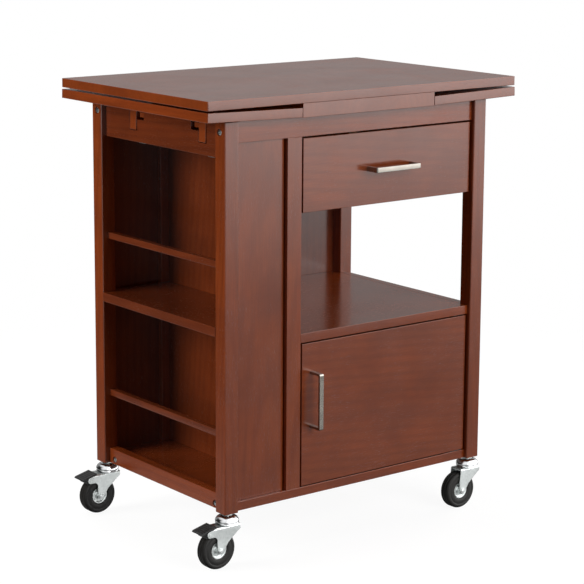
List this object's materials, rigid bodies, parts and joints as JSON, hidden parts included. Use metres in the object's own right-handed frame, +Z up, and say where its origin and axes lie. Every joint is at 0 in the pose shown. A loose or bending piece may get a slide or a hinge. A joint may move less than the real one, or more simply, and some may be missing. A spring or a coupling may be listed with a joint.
{
  "type": "kitchen island cart",
  "caption": "Rolling wooden kitchen cart with a draw-leaf top, a drawer, an open shelf, a cupboard, an open wine and stemware bay, and swivel casters with brakes.",
  "frame": {"origin": "on the floor, at the centre of the closed cart's bounding box", "axes": "+Z up; -Y is the front, with the drawer and the door; +X is the open shelf's end and -X the wine bay's end"},
  "size_m": [0.765, 0.5, 0.9],
  "materials": {
    "walnut_top": "red-brown stain under a satin lacquer",
    "walnut_frame": "red-brown stain under a satin lacquer",
    "walnut_panel": "red-brown stain under a satin lacquer",
    "plain_wood": "thin clear lacquer",
    "nickel": "brushed nickel plate",
    "zinc": "bright zinc plate",
    "chrome": "polished",
    "rubber": "matte black",
    "black_plastic": "fine-grained black",
    "grey_nylon": "smooth pale grey nylon"
  },
  "bodies": {
    "frame": {"leg_fl": "walnut_frame", "leg_fr": "walnut_frame", "leg_rl": "walnut_frame", "leg_rr": "walnut_frame", "front_apron": "walnut_frame", "rear_apron": "walnut_frame", "left_apron": "walnut_frame", "right_apron": "walnut_frame", "bottom_board": "walnut_frame", "left_end_rail": "walnut_frame", "stemware_shelf": "walnut_frame", "upper_guard_rail": "walnut_frame", "lower_guard_rail": "walnut_frame", "front_panel": "walnut_panel", "rear_panel": "walnut_panel", "right_side_panel": "walnut_panel", "divider": "walnut_panel", "front_stile": "walnut_frame", "rear_post": "walnut_frame", "open_shelf": "walnut_frame", "drawer_runners": "plain_wood", "bearer_guide": "plain_wood", "glide_blocks": "grey_nylon", "centre_board": "walnut_top", "frame_bolts": "zinc", "door_pivots": "black_plastic", "door_catch": "black_plastic", "caster_stems": "zinc", "caster_cups": "chrome"},
    "top": {"top_board": "walnut_top", "top_pegs": "plain_wood"},
    "left_leaf": {"left_leaf": "walnut_top", "left_bearers": "walnut_frame"},
    "right_leaf": {"right_leaf": "walnut_top", "right_bearers": "walnut_frame"},
    "drawer": {"drawer_front": "walnut_panel", "drawer_box": "plain_wood", "drawer_bottom": "plain_wood", "drawer_pull": "nickel"},
    "door": {"door": "walnut_panel", "door_pull": "nickel", "catch_strike": "zinc"},
    "swivel_fl": {"fork_fl": "zinc", "axle_fl": "zinc"},
    "wheel_fl": {"hub_fl": "zinc", "tyre_fl": "rubber"},
    "pedal_fl": {"pedal_fl": "black_plastic"},
    "swivel_fr": {"fork_fr": "zinc", "axle_fr": "zinc"},
    "wheel_fr": {"hub_fr": "zinc", "tyre_fr": "rubber"},
    "swivel_rl": {"fork_rl": "zinc", "axle_rl": "zinc"},
    "wheel_rl": {"hub_rl": "zinc", "tyre_rl": "rubber"},
    "pedal_rl": {"pedal_rl": "black_plastic"},
    "swivel_rr": {"fork_rr": "zinc", "axle_rr": "zinc"},
    "wheel_rr": {"hub_rr": "zinc", "tyre_rr": "rubber"}
  },
  "joints": [
    {"name": "left_leaf_slide", "type": "slide", "parent": "frame", "child": "left_leaf", "axis": [-0.9997, 0, 0.023], "range_m": [0, 0.217]},
    {"name": "right_leaf_slide", "type": "slide", "parent": "frame", "child": "right_leaf", "axis": [0.9997, 0, 0.023], "range_m": [0, 0.217]},
    {"name": "top_lift", "type": "slide", "parent": "frame", "child": "top", "axis": [0, 0, 1], "range_m": [0, 0.03]},
    {"name": "drawer_slide", "type": "slide", "parent": "frame", "child": "drawer", "axis": [0, -1, 0], "range_m": [0, 0.3]},
    {"name": "door_hinge", "type": "hinge", "parent": "frame", "child": "door", "pos_m": [0.278, -0.208, 0.27], "axis": [0, 0, 1], "range_deg": [0, 105]},
    {"name": "swivel_fl", "type": "hinge", "parent": "frame", "child": "swivel_fl", "pos_m": [-0.311, -0.21, 0.09], "axis": [0, 0, 1], "continuous": true},
    {"name": "wheel_spin_fl", "type": "hinge", "parent": "swivel_fl", "child": "wheel_fl", "pos_m": [-0.337, -0.21, 0.038], "axis": [0, 1, 0], "continuous": true},
    {"name": "brake_fl", "type": "hinge", "parent": "swivel_fl", "child": "pedal_fl", "pos_m": [-0.361, -0.21, 0.074], "axis": [0, -1, 0], "range_deg": [0, 10]},
    {"name": "swivel_fr", "type": "hinge", "parent": "frame", "child": "swivel_fr", "pos_m": [0.311, -0.21, 0.09], "axis": [0, 0, 1], "continuous": true},
    {"name": "wheel_spin_fr", "type": "hinge", "parent": "swivel_fr", "child": "wheel_fr", "pos_m": [0.285, -0.21, 0.038], "axis": [0, 1, 0], "continuous": true},
    {"name": "swivel_rl", "type": "hinge", "parent": "frame", "child": "swivel_rl", "pos_m": [-0.311, 0.21, 0.09], "axis": [0, 0, 1], "continuous": true},
    {"name": "wheel_spin_rl", "type": "hinge", "parent": "swivel_rl", "child": "wheel_rl", "pos_m": [-0.337, 0.21, 0.038], "axis": [0, 1, 0], "continuous": true},
    {"name": "brake_rl", "type": "hinge", "parent": "swivel_rl", "child": "pedal_rl", "pos_m": [-0.361, 0.21, 0.074], "axis": [0, -1, 0], "range_deg": [0, 10]},
    {"name": "swivel_rr", "type": "hinge", "parent": "frame", "child": "swivel_rr", "pos_m": [0.311, 0.21, 0.09], "axis": [0, 0, 1], "continuous": true},
    {"name": "wheel_spin_rr", "type": "hinge", "parent": "swivel_rr", "child": "wheel_rr", "pos_m": [0.285, 0.21, 0.038], "axis": [0, 1, 0], "continuous": true}
  ]
}
